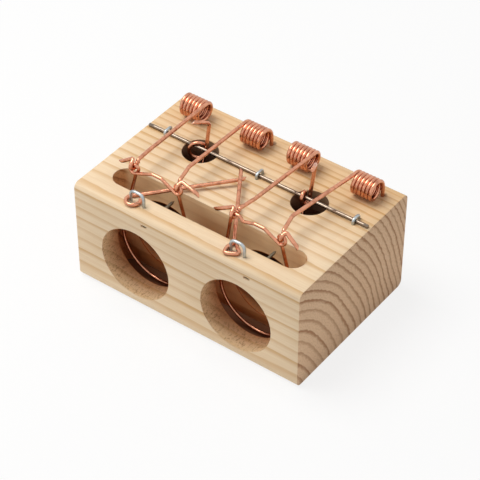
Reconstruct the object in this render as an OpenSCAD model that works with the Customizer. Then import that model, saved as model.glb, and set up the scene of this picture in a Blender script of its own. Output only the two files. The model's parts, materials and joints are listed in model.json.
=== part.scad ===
// Wooden block mouse trap with two entry holes.
// Each entry has a wire noose in a cross slot, lifted by a pair of torsion springs,
// a lock bar that holds the noose down and a trigger that lets the bar go.
// Origin: middle of the underside. +X along the block, +Y from the entries to the back, +Z up.

/* [Block] */
// Length of the block
block_l = 100; // [98:1:106]
// Depth of the block, front to back
block_d = 67.6; // [66:0.2:74]
// Height of the block
block_h = 44.4; // [43.4:0.2:48]
// Radius planed on the four long edges
edge_r = 2.4; // [1:0.2:4]

/* [Entry holes] */
// Bore of an entry hole
hole_d = 31; // [28:0.5:32]
// Distance between the two hole axes
hole_pitch = 45.4; // [45:0.2:48]
// Wood left under an entry hole
hole_floor = 4; // [3:0.2:5]
// Depth of an entry hole
hole_depth = 54; // [52:0.5:58]

/* [Noose slot] */
// Wood between the front face and the slot
slot_wall = 9.2; // [8.4:0.2:11]
// Width of the slot, front to back
slot_w = 10.1; // [9:0.1:11]
// Gap between a noose's bow and the round end of the slot
slot_end_gap = 1.85; // [1.35:0.05:3.75]

/* [Trigger pockets] */
// Bore of a pocket
pocket_d = 14; // [13:0.5:15]
// Distance between the pocket axes and between the two spring pairs
pocket_pitch = 49.2; // [49:0.2:52]
// How far a pocket axis lies in front of the axle rod
pocket_ahead = 0.8; // [0:0.1:1.4]

/* [Axle rod] */
// Diameter of the rod
rod_d = 1.4; // [1.2:0.1:2]
// Distance from the rod's ends to the block's ends
rod_end_inset = 0.7; // [0.2:0.1:3]
// Distance from the rod to the back face
rod_inset = 24.6; // [23:0.2:26]

/* [Staples] */
// Diameter of the staple wire
staple_wire = 1.2; // [1:0.1:1.4]
// Distance between the legs of a bar staple
staple_span = 5.9; // [5.4:0.1:7]
// Distance between the legs of a rod staple
rod_staple_span = 3.8; // [3.4:0.1:6]
// Depth of the legs in the wood
staple_depth = 7; // [5:0.5:8]
// Radius of a staple's shoulders
staple_bend = 1.1; // [0.8:0.1:1.2]
// Distance from the left rod staple to the block's left end
left_rod_staple_inset = 9.2; // [7:0.2:9.6]
// Distance from the right rod staple to the block's right end
right_rod_staple_inset = 6.4; // [5:0.2:7]
// Offset of the middle rod staple from the middle of the block
rod_staple_shift = 1.4; // [0:0.2:2]
// Height of a bar staple above the wood
bar_staple_rise = 5.4; // [4.6:0.1:6]
// Distance from a bar staple to the front face
bar_staple_inset = 4.8; // [4.4:0.1:6]
// How far the left bar staple lies left of its hole's axis
left_staple_shift = 1.6; // [1.4:0.1:2.2]
// How far the right bar staple lies left of its hole's axis
right_staple_shift = 2.4; // [2.2:0.1:2.8]

/* [Stop pins] */
// Diameter of a stop pin
pin_d = 1.2; // [1:0.1:1.4]
// Depth of the pin axis under the top face
pin_drop = 4.2; // [3.8:0.1:5]
// How far a pin lies right of its hole's axis
pin_right = 4.8; // [3:0.2:6]
// Gap between the pin's point and the back wall of the slot
pin_short = 1.6; // [1:0.1:2.4]
// Width of the flat head
pin_head_w = 2.6; // [2:0.1:3]
// Thickness of the flat head
pin_head_t = 1; // [0.8:0.1:1.2]
// How deep the head is sunk in the front face
pin_sunk = 0.6; // [0.4:0.1:1.2]
// Length of the pin's point
pin_point_l = 1.2; // [0.8:0.1:1.6]
// Diameter at the tip of the point
pin_point_d = 0.3; // [0.2:0.1:0.5]

/* [Springs] */
// Diameter of the spring wire
spring_wire = 1.3; // [1.2:0.05:1.4]
// Outside diameter of a coil
coil_d = 9; // [8:0.1:9.4]
// Curls in a fixed coil, up to its leg
coil_curls = 5; // [3:1:5]
// Free gap between two curls
curl_gap = 0.43; // [0.42:0.01:0.5]
// Distance from the coil axis to the back face
coil_inset = 10.4; // [9.6:0.2:12]
// Distance between the two arms of a pair at their coils
arm_pitch = 18.2; // [16.4:0.2:18.4]
// How far a pair of springs lies right of its pocket's axis
pair_shift = 0.3; // [0:0.1:0.6]
// Depth of a coil's leg in the wood
leg_depth = 6; // [4:0.5:8]
// Distance from the noose to the bend in an arm
arm_bend_back = 10.4; // [8:0.2:14]
// Sideways place of the bend in a left arm, from the hole's axis
left_bend = 9.2; // [8.6:0.1:10]
// Sideways place of the bend in a right arm, from the hole's axis
right_bend = 6.6; // [5.4:0.1:9]
// How far the bend lies below the top of the arm's curl
arm_drop = 0.3; // [0:0.1:0.6]
// Radius of the bend in an arm
arm_bend_r = 5; // [3:0.5:7]
// Radius of the hook that holds the noose
hook_r = 1.95; // [1.85:0.05:2.1]
// Free gap between the start and the end of a hook's loop
hook_gap = 0.6; // [0.55:0.01:0.65]
// Length of the hook's free tip
hook_tip = 5.8; // [4:0.2:6.4]
// Offset of the bend where the free tip turns outward
hook_kick = 0.8; // [0.6:0.1:1]
// Slope of the free tip
tip_drop = 30; // [20:1:36]
// Turn of the free tip towards the entry
tip_swing = 8; // [0:1:12]

/* [Nooses] */
// Diameter of the noose wire
noose_wire = 1.1; // [0.9:0.05:1.2]
// Radius of the lower bow of a noose
noose_r = 17; // [16:0.1:17.4]
// Half the width of a noose at its top corners
noose_half = 11.3; // [11.3:0.1:12]
// Half the width of a noose at its necks, under the hooks
noose_neck = 9.4; // [9.2:0.1:10.6]
// Height of a top corner above the bend towards the neck
noose_side = 2.4; // [2.3:0.1:2.6]
// Height of that bend above the neck
noose_step = 2; // [1.6:0.1:2.2]
// Height of the noose's top corners above the block
noose_rise = 7.6; // [7.2:0.1:8]
// Depth of the two dips in the crossbar, beside the hooks
noose_dip = 2.1; // [1.6:0.1:2.3]
// Rise of the crossbar's middle above its top corners
noose_peak = 0.3; // [0:0.1:0.6]
// Radius of the noose's top corners
noose_corner_r = 1.1; // [1:0.1:1.2]
// Radius of the bends in the crossbar
noose_bend_r = 0.9; // [0.7:0.1:1]
// Slant of the short drop from a top corner to the crossbar
noose_slant = 0.5; // [0.3:0.1:1]
// Gap between the noose's lowest point and the ground
noose_clear = 0.65; // [0.5:0.05:1.2]

/* [Lock bars] */
// Diameter of the bar wire
bar_wire = 1.3; // [1.1:0.1:1.4]
// Length of a bar from the middle of its eye to its tip
bar_l = 40.4; // [38:0.2:41]
// Radius of the eye at the end of a bar
eye_r = 2.65; // [2.5:0.05:2.8]
// Distance from beside the middle of the eye to where a shank starts to rise
eye_neck = 4; // [3.6:0.1:4.4]
// Turn of a lock bar's open eye, in degrees
eye_turn = 264; // [250:2:270]
// Direction of the left bar, turned from the length of the block
left_bar_angle = 46.8; // [46:0.2:48]
// Slope of the left bar
left_bar_slope = 2.6; // [2.5:0.1:2.8]
// Direction of the right bar, turned from the length of the block
right_bar_angle = 122.4; // [121:0.2:123]
// Slope of the right bar
right_bar_slope = 5.7; // [5.6:0.1:6]
// Direction from the staple's leg to the middle of the left bar's eye, from +X
left_eye_angle = 5; // [0:1:15]
// Direction from the staple's leg to the middle of the right bar's eye, from +X
right_eye_angle = 0; // [0:1:10]
// Distance of the left bar's shank from the middle of its eye
left_eye_shift = 2.6; // [2.4:0.05:2.65]
// Distance of the right bar's shank from the middle of its eye
right_eye_shift = 0; // [0:0.05:0.1]

/* [Triggers] */
// Diameter of the trigger wire
trigger_wire = 1.3; // [1.1:0.1:1.4]
// Length of a trigger's bait arm below the rod
bait_arm_l = 29; // [24:0.5:30]
// Lean of the bait arm towards the entry
bait_arm_lean = 6; // [2:0.5:8]
// Radius of the bait hook
bait_hook_r = 2.2; // [1.8:0.1:2.6]
// Turn of the bait hook
bait_hook_turn = 210; // [150:10:220]
// Height of the left catch above the rod
left_catch_rise = 10.8; // [10:0.1:12.4]
// Height of the right catch above the rod
right_catch_rise = 14; // [12:0.1:14.6]
// Lean of the upright towards the back
catch_lean = 7; // [2:0.5:8]
// Sideways lean of the upright over its height
catch_drift = 1; // [0:0.1:1.2]
// Radius of the bend below the catch
catch_bend = 1.6; // [1:0.1:2]
// Reach of the catch towards the entry
catch_reach = 6; // [4:0.2:8]
// Sideways reach of the catch
catch_side = 2.8; // [0:0.1:3.4]
// Rise of the catch along its reach
catch_lift = 2.6; // [1:0.1:4]
// Drop of the loop that hangs on the rod
loop_drop = 2.9; // [2.6:0.1:4]
// How far the left bait arm hangs left of its pocket's axis
left_arm_offset = 4.6; // [3:0.2:4.8]
// How far the right bait arm hangs left of its pocket's axis
right_arm_offset = 3.8; // [1:0.2:4]
// Lead of the left trigger's loop along the rod
left_lead = 5; // [2:0.2:6]
// Lead of the right trigger's loop along the rod
right_lead = 2; // [1.8:0.1:4]

/* [Fits] */
// Clearance round what is driven into the wood
driven_fit = 0.03; // [0.02:0.01:0.05]
// Gap between wires that move past each other
wire_gap = 0.35; // [0.3:0.05:0.4]
// Gap between a resting wire and what it rests on
rest_gap = 0.2; // [0.1:0.05:0.3]

/* [Hidden] */

// Facets of bores and round stock
BORE_FN = 96;
STOCK_FN = 48;
// Sides of a spring's wire and of the other bent wires
SPRING_SIDES = 6;
WIRE_SIDES = 8;
// Rings along one curl, one small loop, one bend and one bow
CURL_RINGS = 8;
// Rings of the three quarters of a curl that an arm starts with
ARM_CURL_RINGS = CURL_RINGS * 3 / 4;
// Rings that already count as another part of the same wire, when its gap to itself is measured
COIL_SKIP = CURL_RINGS * 5 / 8;
LOOP_RINGS = 12;
BEND_RINGS = 4;
BOW_RINGS = 24;
// A cut runs this far past the face that it opens
PAST = 1;

PINE = [0.90, 0.76, 0.55];
COPPER = [0.76, 0.42, 0.31];
BRIGHT_STEEL = [0.80, 0.80, 0.79];
ZINC = [0.62, 0.66, 0.68];

front_y = -block_d / 2;
back_y = block_d / 2;
hole_x = hole_pitch / 2;
hole_z = hole_floor + hole_d / 2;
slot_front_y = front_y + slot_wall;
slot_y = slot_front_y + slot_w / 2;
rod_y = back_y - rod_inset;
rod_z = block_h + rod_d / 2;
pair_x = pocket_pitch / 2;
pocket_y = rod_y - pocket_ahead;
pin_z = block_h - pin_drop;
bar_staple_y = front_y + bar_staple_inset;
function bar_staple_x(side) = side * hole_x - (side < 0 ? left_staple_shift : right_staple_shift);

// Coil axis and winding radius
coil_y = back_y - coil_inset;
coil_z = block_h + coil_d / 2 + rest_gap;
curl_r = (coil_d - spring_wire) / 2;
curl_pitch = spring_wire + curl_gap;

hook_lead = spring_wire + hook_gap;

// The nooses hinge on this line, where their crossbars pass through the hooks
hinge_y = slot_y;
hinge_z = block_h + noose_rise;
hook_x = noose_half - hook_lead - noose_wire / 2;
// The hook hangs a little below the crossbar that it lifts
hook_z = hinge_z + hook_r - spring_wire / 2 - noose_wire / 2 - wire_gap;

function unit(v) = v / norm(v);

// Points of a round bend of radius r at b, on the way from a to c
function bend(a, b, c, r) =
    let (
        u = unit(a - b),
        v = unit(c - b),
        half = acos(u * v) / 2,
        centre = b + unit(u + v) * (r / sin(half)),
        out = unit(b + u * (r / tan(half)) - centre),
        turn = 180 - 2 * half
    )
    [
        for (i = [0:BEND_RINGS])
            let (a = turn * i / BEND_RINGS)
            centre + r * (out * cos(a) - u * sin(a))
    ];

// Direction of travel at point i of a path
function heading(path, i, closed) =
    let (
        n = len(path),
        before = closed ? path[(i + n - 1) % n] : path[max(i - 1, 0)],
        after = closed ? path[(i + 1) % n] : path[min(i + 1, n - 1)]
    )
    unit(unit(after - path[i] + (after == path[i] ? after - before : [0, 0, 0]))
        + unit(path[i] - before + (before == path[i] ? after - before : [0, 0, 0])));

// Normals that turn as little as possible along a path
function normals(path, closed, first, i = 0, done = []) =
    i == len(path) ? done :
    let (
        t = heading(path, i, closed),
        last = i == 0 ? first : done[i - 1],
        n = unit(last - (last * t) * t)
    )
    normals(path, closed, first, i + 1, concat(done, [n]));

// A wire of diameter d along a path; first is square to the path at its start
module wire(path, d, sides, first, closed = false) {
    across = normals(path, closed, first);
    rings = len(path);
    points = [
        for (i = [0:rings - 1])
            let (t = heading(path, i, closed), b = cross(t, across[i]))
            for (k = [0:sides - 1])
                path[i] + d / 2 * (across[i] * cos(360 * k / sides) + b * sin(360 * k / sides))
    ];
    spans = closed ? rings : rings - 1;
    skin = [
        for (i = [0:spans - 1])
            for (k = [0:sides - 1])
                let (
                    p = i * sides + k,
                    q = i * sides + (k + 1) % sides,
                    r = ((i + 1) % rings) * sides + k,
                    s = ((i + 1) % rings) * sides + (k + 1) % sides
                )
                each [[p, r, q], [q, r, s]]
    ];
    last = (rings - 1) * sides;
    ends = closed ? [] : [
        for (k = [1:sides - 2])
            each [[0, k, k + 1], [last, last + k + 1, last + k]]
    ];
    polyhedron(points, concat(skin, ends), convexity = 10);
}

// Least free gap of a wire of diameter d to itself, between parts of the path over skip rings apart
function span_gap(p, a, b) =
    let (t = min(1, max(0, (p - a) * (b - a) / ((b - a) * (b - a)))))
    norm(p - a - t * (b - a));
function least_gap(path, d, skip) =
    min([
        for (i = [0:len(path) - 1])
            for (j = [i + skip:1:len(path) - 2])
                span_gap(path[i], path[j], path[j + 1])
    ]) - d;

// Point on a circle round the X axis, a = 0 at the back and 90 on top
function around(x, y, z, r, a) = [x, y + r * cos(a), z + r * sin(a)];

// Springs are numbered from the left. Springs 1 and 3 carry a left arm, 2 and 4 a right arm.
function pair_side(i) = i < 2 ? -1 : 1;
function arm_side(i) = i % 2 == 0 ? -1 : 1;
function arm_x(i) = pair_side(i) * pair_x + pair_shift + arm_side(i) * arm_pitch / 2;

// Fixed coil: from beside the arm's curl to the leg at the back
first_curl = spring_wire + wire_gap;
function coil_path(i) =
    let (
        steps = round((coil_curls - 0.5) * CURL_RINGS),
        x0 = arm_x(i) + arm_side(i) * first_curl,
        x_end = x0 + arm_side(i) * curl_pitch * steps / CURL_RINGS,
        leg_y = coil_y + curl_r
    )
    concat(
        [
            for (k = [0:steps])
                around(
                    x0 + arm_side(i) * curl_pitch * k / CURL_RINGS,
                    coil_y, coil_z, curl_r, 180 - 360 * k / CURL_RINGS
                )
        ],
        [
            [x_end, leg_y, coil_z - curl_r / 2],
            [x_end, leg_y, block_h - leg_depth]
        ]
    );
function leg_x(i) = coil_path(i)[len(coil_path(i)) - 1].x;

// Moving arm: three quarters of a curl, the arm, the hook round the crossbar and its free tip
function arm_path(i) =
    let (
        side = arm_side(i),
        hole = pair_side(i) * hole_x,
        top = around(arm_x(i), coil_y, coil_z, curl_r, 90),
        bend_x = hole + side * (side < 0 ? left_bend : right_bend),
        knee_z = coil_z + curl_r - arm_drop,
        knee = [bend_x, hinge_y + arm_bend_back, knee_z],
        x0 = hole + side * hook_x,
        start = around(x0, hinge_y, hook_z, hook_r, 90),
        x1 = x0 + side * hook_lead,
        crest = around(x1, hinge_y, hook_z, hook_r, 90),
        elbow = crest + [side * hook_kick, -hook_r, hook_kick],
        tip = elbow + hook_tip * [
            side * cos(tip_drop) * cos(tip_swing),
            -cos(tip_drop) * sin(tip_swing),
            -sin(tip_drop)
        ]
    )
    concat(
        [for (k = [0:ARM_CURL_RINGS]) around(arm_x(i), coil_y, coil_z, curl_r, -180 + 360 * k / CURL_RINGS)],
        [top + [0, -spring_wire, 0]],
        bend(top, knee, start, arm_bend_r),
        [start + [0, spring_wire, 0]],
        [
            for (k = [0:LOOP_RINGS])
                around(
                    x0 + side * hook_lead * k / LOOP_RINGS,
                    hinge_y, hook_z, hook_r, 90 + 360 * k / LOOP_RINGS
                )
        ],
        bend(crest, elbow, tip, hook_kick),
        [tip]
    );

// Angle at which a side of a noose, from x = half and drop below the hinge, meets the bow
bow_z = noose_clear + noose_wire / 2 + noose_r;
function bow_touch(half, drop) =
    let (rise = hinge_z - drop - bow_z)
    atan2(rise, half) - acos(noose_r / norm([half, rise]));

// Closed noose: crossbar, an ear round each hook, sides and the bow round the entry hole.
// The right noose has one ear without a neck, where its lock bar passes inside it.
function noose_path(side) =
    let (
        neck = noose_side + noose_step,
        touch_l = side < 0 ? bow_touch(noose_neck, neck) : bow_touch(noose_half, 0),
        touch_r = bow_touch(noose_neck, neck),
        shoulder = hook_x - spring_wire / 2 - wire_gap - noose_wire / 2,
        dip = shoulder - noose_slant,
        peak = [0, 0, noose_peak],
        neck_l = [-noose_neck, 0, -neck],
        neck_r = [noose_neck, 0, -neck],
        side_l = [-noose_half, 0, -noose_side],
        side_r = [noose_half, 0, -noose_side],
        corner_l = [-noose_half, 0, 0],
        corner_r = [noose_half, 0, 0],
        in_l = [-shoulder, 0, 0],
        in_r = [shoulder, 0, 0],
        dip_l = [-dip, 0, -noose_dip],
        dip_r = [dip, 0, -noose_dip],
        foot_l = [-noose_r * cos(touch_l), 0, bow_z + noose_r * sin(touch_l) - hinge_z],
        foot_r = [noose_r * cos(touch_r), 0, bow_z + noose_r * sin(touch_r) - hinge_z],
        sweep = 180 + touch_l + touch_r
    )
    [
        for (
            p = concat(
                side < 0 ? bend(foot_l, neck_l, side_l, noose_bend_r) : [],
                side < 0 ? bend(neck_l, side_l, corner_l, noose_bend_r) : [],
                bend(side < 0 ? side_l : foot_l, corner_l, in_l, noose_corner_r),
                bend(corner_l, in_l, dip_l, noose_bend_r),
                bend(in_l, dip_l, peak, noose_bend_r),
                bend(dip_l, peak, dip_r, noose_bend_r),
                bend(peak, dip_r, in_r, noose_bend_r),
                bend(dip_r, in_r, corner_r, noose_bend_r),
                bend(in_r, corner_r, side_r, noose_corner_r),
                bend(corner_r, side_r, neck_r, noose_bend_r),
                bend(side_r, neck_r, foot_r, noose_bend_r),
                [
                    for (k = [0:BOW_RINGS])
                        let (a = touch_r - sweep * k / BOW_RINGS)
                        [noose_r * cos(a), 0, bow_z + noose_r * sin(a) - hinge_z]
                ]
            )
        )
            p + [side * hole_x, hinge_y, hinge_z]
    ];

// Lock bar: tip, straight shank and an eye round the left leg of its staple
function bar_leg_x(side) = bar_staple_x(side) - staple_span / 2;
function bar_path(angle, slope, eye_angle, eye_shift) =
    let (
        along = [cos(angle), sin(angle), 0],
        across = [-sin(angle), cos(angle), 0],
        play = eye_r - bar_wire / 2 - staple_wire / 2 - wire_gap,
        centre = play * [cos(eye_angle), sin(eye_angle), 0],
        start = centre + eye_shift * across + eye_neck * along,
        touch = atan2(eye_shift, eye_neck) + acos(eye_r / norm([eye_shift, eye_neck])),
        rise = [cos(angle) * cos(slope), sin(angle) * cos(slope), sin(slope)]
    )
    concat(
        [start + (bar_l - eye_neck) * rise, start + bar_wire * rise],
        [
            for (k = [0:LOOP_RINGS])
                let (a = angle + touch + eye_turn * k / LOOP_RINGS)
                centre + eye_r * [cos(a), sin(a), 0]
        ]
    );

// Trigger: bait hook, bait arm, loop that hangs on the rod, upright and catch
loop_r = (rod_d / 2 + trigger_wire / 2 + wire_gap) / cos(180 / LOOP_RINGS);
function trigger_path(side, lead, catch_rise) =
    let (
        half = LOOP_RINGS / 2,
        dip = loop_r - loop_drop,
        foot = [0, loop_r - bait_arm_l * sin(bait_arm_lean), -bait_arm_l * cos(bait_arm_lean)],
        head = [lead + catch_drift, loop_r + catch_rise * sin(catch_lean), catch_rise],
        catch_end = head + [side * catch_side, -catch_reach, catch_lift]
    )
    concat(
        [
            for (k = [0:half])
                let (a = bait_hook_turn * (1 - k / half))
                foot + bait_hook_r * [0, cos(a) - 1, -sin(a)]
        ],
        [
            for (k = [0:half])
                [lead / 2 * k / half, loop_r * cos(180 * k / half), loop_r * sin(180 * k / half)]
        ],
        [
            for (k = [0:half])
                [lead / 2 * (1 + k / half), -loop_r * cos(180 * k / half), dip - loop_r * sin(180 * k / half)]
        ],
        bend([lead, loop_r, dip], head, catch_end, catch_bend),
        [catch_end]
    );

// Round stock along Z, Y or X
module stock(d, l) {
    cylinder(d = d, h = l, $fn = STOCK_FN);
}

// Staple: legs down from z = 0, span apart along X, and its crown at height rise
module staple(span, rise) {
    shoulder = span / 2 - staple_bend;
    for (s = [-1, 1])
        translate([s * span / 2, 0, -staple_depth])
            stock(staple_wire, staple_depth + rise - staple_bend);
    for (s = [0, 1])
        mirror([s, 0, 0])
            translate([shoulder, 0, rise - staple_bend])
                rotate([90, 0, 0])
                    rotate_extrude(angle = 90, $fn = STOCK_FN)
                        translate([staple_bend, 0])
                            circle(d = staple_wire, $fn = STOCK_FN);
    translate([-shoulder, 0, rise])
        rotate([0, 90, 0])
            stock(staple_wire, 2 * shoulder);
}

// Bores for the two legs of a staple
module staple_bores(span) {
    for (s = [-1, 1])
        translate([s * span / 2, 0, -staple_depth - driven_fit])
            cylinder(d = staple_wire + 2 * driven_fit, h = staple_depth + PAST, $fn = STOCK_FN);
}

rod_crown = rod_d + staple_wire / 2 + driven_fit;
// The front leg of a rod staple stands right in front of the rod
rod_staple_y = rod_y - rod_d / 2 - staple_wire / 2 - driven_fit + rod_staple_span / 2;
rod_staple_x = [-block_l / 2 + left_rod_staple_inset, rod_staple_shift, block_l / 2 - right_rod_staple_inset];
module at_rod_staple(k) {
    translate([rod_staple_x[k + 1], rod_staple_y, block_h])
        rotate([0, 0, 90])
            children();
}
module at_bar_staple(side) {
    translate([bar_staple_x(side), bar_staple_y, block_h])
        children();
}

// Profile of the planed timber, in Y and Z
module timber_profile() {
    square([block_d - 2 * edge_r, block_h], center = true);
    square([block_d, block_h - 2 * edge_r], center = true);
    for (sy = [-1, 1])
        for (sz = [-1, 1])
            translate([sy * (block_d / 2 - edge_r), sz * (block_h / 2 - edge_r)])
                circle(r = edge_r, $fn = BORE_FN);
}

module entry_hole(side) {
    translate([side * hole_x, front_y - PAST, hole_z])
        rotate([-90, 0, 0])
            cylinder(d = hole_d, h = hole_depth + PAST, $fn = BORE_FN);
}

module slot() {
    // From the middle of the slot to the middle of its round end
    reach = hole_x + noose_r + noose_wire / 2 + slot_end_gap - slot_w / 2;
    translate([0, slot_y, -PAST])
        linear_extrude(block_h + 2 * PAST) {
            square([2 * reach, slot_w], center = true);
            for (s = [-1, 1])
                translate([s * reach, 0])
                    circle(d = slot_w, $fn = BORE_FN);
        }
}

module pocket(side) {
    translate([side * pair_x, pocket_y, hole_z])
        cylinder(d = pocket_d, h = block_h - hole_z + PAST, $fn = BORE_FN);
}

module pin_bore(side) {
    recess_w = pin_head_w + 2 * driven_fit;
    recess_t = pin_head_t + 2 * driven_fit;
    translate([side * hole_x + pin_right, front_y, pin_z])
        rotate([-90, 0, 0]) {
            cylinder(d = pin_d + 2 * driven_fit, h = slot_wall + PAST, $fn = STOCK_FN);
            translate([-recess_w / 2, -recess_t / 2, -PAST])
                cube([recess_w, recess_t, PAST + pin_sunk + pin_head_t + driven_fit]);
        }
}

module block() {
    color(PINE)
        difference() {
            translate([-block_l / 2, 0, block_h / 2])
                rotate([90, 0, 90])
                    linear_extrude(block_l)
                        timber_profile();
            slot();
            for (side = [-1, 1]) {
                entry_hole(side);
                pocket(side);
                pin_bore(side);
                at_bar_staple(side)
                    staple_bores(staple_span);
            }
            for (k = [-1:1])
                at_rod_staple(k)
                    staple_bores(rod_staple_span);
            for (i = [0:3])
                translate([leg_x(i), coil_y + curl_r, block_h - leg_depth - driven_fit])
                    cylinder(d = spring_wire + 2 * driven_fit, h = leg_depth + PAST, $fn = STOCK_FN);
        }
}

module axle_rod() {
    color(BRIGHT_STEEL)
        translate([rod_end_inset - block_l / 2, rod_y, rod_z])
            rotate([0, 90, 0])
                stock(rod_d, block_l - 2 * rod_end_inset);
}

module rod_staple(k) {
    color(ZINC)
        at_rod_staple(k)
            staple(rod_staple_span, rod_crown);
}

module bar_staple(side) {
    color(ZINC)
        at_bar_staple(side)
            staple(staple_span, bar_staple_rise);
}

// Brad driven through the front wall: flat head, shank and point
module stop_pin(side) {
    shank = slot_wall + slot_w - pin_short - pin_sunk - pin_point_l;
    color(ZINC)
        translate([side * hole_x + pin_right, front_y + pin_sunk, pin_z])
            rotate([-90, 0, 0]) {
                translate([-pin_head_w / 2, -pin_head_t / 2, 0])
                    cube([pin_head_w, pin_head_t, pin_head_t]);
                stock(pin_d, shank);
                translate([0, 0, shank])
                    cylinder(d1 = pin_d, d2 = pin_point_d, h = pin_point_l, $fn = STOCK_FN);
            }
}

module spring_coil(i) {
    color(COPPER)
        wire(coil_path(i), spring_wire, SPRING_SIDES, [1, 0, 0]);
}

module spring_arm(i) {
    color(COPPER)
        wire(arm_path(i), spring_wire, SPRING_SIDES, [1, 0, 0]);
}

module noose(side) {
    color(COPPER)
        wire(noose_path(side), noose_wire, WIRE_SIDES, [0, 1, 0], closed = true);
}

module lock_bar(side, angle, slope, eye_angle, eye_shift) {
    color(COPPER)
        translate([bar_leg_x(side), bar_staple_y, block_h + bar_wire / 2 + rest_gap])
            wire(
                bar_path(angle, slope, eye_angle, eye_shift),
                bar_wire, WIRE_SIDES, [-sin(angle), cos(angle), 0]
            );
}

module trigger(side, x, lead, catch_rise) {
    color(COPPER)
        translate([x, rod_y, rod_z])
            wire(trigger_path(side, lead, catch_rise), trigger_wire, WIRE_SIDES, [1, 0, 0]);
}

left_trigger_x = -pair_x - left_arm_offset;
right_trigger_x = pair_x - right_arm_offset;

coil_gaps = [for (i = [0:3]) least_gap(coil_path(i), spring_wire, COIL_SKIP)];
arm_gaps = [for (i = [0:3]) least_gap(arm_path(i), spring_wire, CURL_RINGS)];
echo("least gap of a coil to itself, mm", min(coil_gaps));
echo("least gap of an arm to itself, mm", min(arm_gaps));

block();
axle_rod();
rod_staple(-1);  // rod_staple_left
rod_staple(0);  // rod_staple_middle
rod_staple(1);  // rod_staple_right
bar_staple(-1);  // bar_staple_left
bar_staple(1);  // bar_staple_right
stop_pin(-1);  // stop_pin_left
stop_pin(1);  // stop_pin_right
spring_coil(0);  // spring_coil_1
spring_coil(1);  // spring_coil_2
spring_coil(2);  // spring_coil_3
spring_coil(3);  // spring_coil_4
spring_arm(0);  // spring_arm_1
spring_arm(1);  // spring_arm_2
spring_arm(2);  // spring_arm_3
spring_arm(3);  // spring_arm_4
noose(-1);  // noose_left
noose(1);  // noose_right
lock_bar(-1, left_bar_angle, left_bar_slope, left_eye_angle, left_eye_shift);  // lock_bar_left
lock_bar(1, right_bar_angle, right_bar_slope, right_eye_angle, right_eye_shift);  // lock_bar_right
trigger(-1, left_trigger_x, left_lead, left_catch_rise);  // trigger_left
trigger(1, right_trigger_x, right_lead, right_catch_rise);  // trigger_right
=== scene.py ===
# %% [markdown]
# # A wooden block mouse trap, dressed round its working frame
#
# The trap is a block of planed pine with two entry holes. Its mechanism is bent wire: four torsion
# springs lift two nooses, two bars lock them down and two triggers let them go. The packed frame
# already holds every piece at its real place, so the lesson is about looks: round wire instead of
# faceted wire, softened edges on the timber, and finishes made from nodes.

# %% Load the frame
import json
import math

import bmesh
import bpy
import numpy as np
from mathutils import Matrix, Vector


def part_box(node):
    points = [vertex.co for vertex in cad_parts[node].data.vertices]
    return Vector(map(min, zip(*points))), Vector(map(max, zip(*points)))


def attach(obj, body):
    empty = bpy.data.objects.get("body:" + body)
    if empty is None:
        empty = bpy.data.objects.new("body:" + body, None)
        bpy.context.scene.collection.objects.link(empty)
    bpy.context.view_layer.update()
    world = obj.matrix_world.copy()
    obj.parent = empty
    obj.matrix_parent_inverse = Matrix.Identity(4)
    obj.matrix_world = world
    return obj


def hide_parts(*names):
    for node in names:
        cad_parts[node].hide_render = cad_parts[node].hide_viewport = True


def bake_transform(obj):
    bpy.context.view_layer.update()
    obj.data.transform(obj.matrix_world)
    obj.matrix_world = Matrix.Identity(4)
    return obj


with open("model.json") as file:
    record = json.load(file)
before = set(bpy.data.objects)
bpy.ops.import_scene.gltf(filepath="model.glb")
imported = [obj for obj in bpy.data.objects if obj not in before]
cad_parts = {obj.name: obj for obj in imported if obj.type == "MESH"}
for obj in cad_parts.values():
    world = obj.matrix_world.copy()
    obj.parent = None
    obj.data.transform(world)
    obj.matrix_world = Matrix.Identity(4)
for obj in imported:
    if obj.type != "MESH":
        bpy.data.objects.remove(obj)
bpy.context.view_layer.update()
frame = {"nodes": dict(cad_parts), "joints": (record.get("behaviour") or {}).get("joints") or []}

# %% [markdown]
# ## Sizes
#
# A maker thinks of this trap in millimetres, so every size here is one, and MM turns it into
# Blender's metres at the last moment. The places of the fixed pieces could be typed again, but they
# are read from the frame where a box gives them, so that the dressing follows the frame.

# %% Reading a box of the frame
MM = 0.001


def box_mm(node):
    """Lowest and highest corner of a frame node, in millimetres."""
    low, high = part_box(node)
    return np.array(low) / MM, np.array(high) / MM


block_low, block_high = box_mm("block")
noose_low, noose_high = box_mm("noose_right")
rod_low, rod_high = box_mm("axle_rod")
pins = {j["name"]: np.array(j["pos_m"]) / MM for j in frame["joints"]}

# %% Sizes of the wood and of its cuts
BLOCK_H = float(block_high[2])
FRONT_Y = float(block_low[1])
HOLE_X = float(noose_low[0] + noose_high[0]) / 2
HOLE_Z = 19.5
HOLE_R = 15.5
HOLE_DEPTH = 54.0
SLOT_Y = float(noose_low[1] + noose_high[1]) / 2
SLOT_W = 10.1
SLOT_END = 42.1
POCKET_X, POCKET_Y, POCKET_R = 24.6, 8.4, 7.0
print("hole axes at x", round(HOLE_X, 2), "slot at y", round(SLOT_Y, 2))

# %% Sizes of the wires
SPRING_WIRE = 1.5
NOOSE_WIRE = 1.3
BAR_WIRE = 1.5
TRIGGER_WIRE = 1.45
STAPLE_WIRE = 1.2
ROD_R = float(rod_high[2] - rod_low[2]) / 2
ROD_Y = float(rod_low[1] + rod_high[1]) / 2
ROD_Z = float(rod_low[2] + rod_high[2]) / 2
HINGE_Z = float(pins["noose_left_hang"][2])
print("rod", round(2 * ROD_R, 2), "mm thick, nooses hang from z", round(HINGE_Z, 2))

# %% [markdown]
# ## Node maths
#
# A finish is a small program made of nodes. They could be placed and linked by hand, but a formula
# is easier to read as Python. So a Socket stands for a value that differs from place to place, and
# each operator on it adds the Math node of that name. Every other node comes from one method, which
# sets a node's choices first and then gives its sockets their values or links.

# %% A socket that does maths


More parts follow.
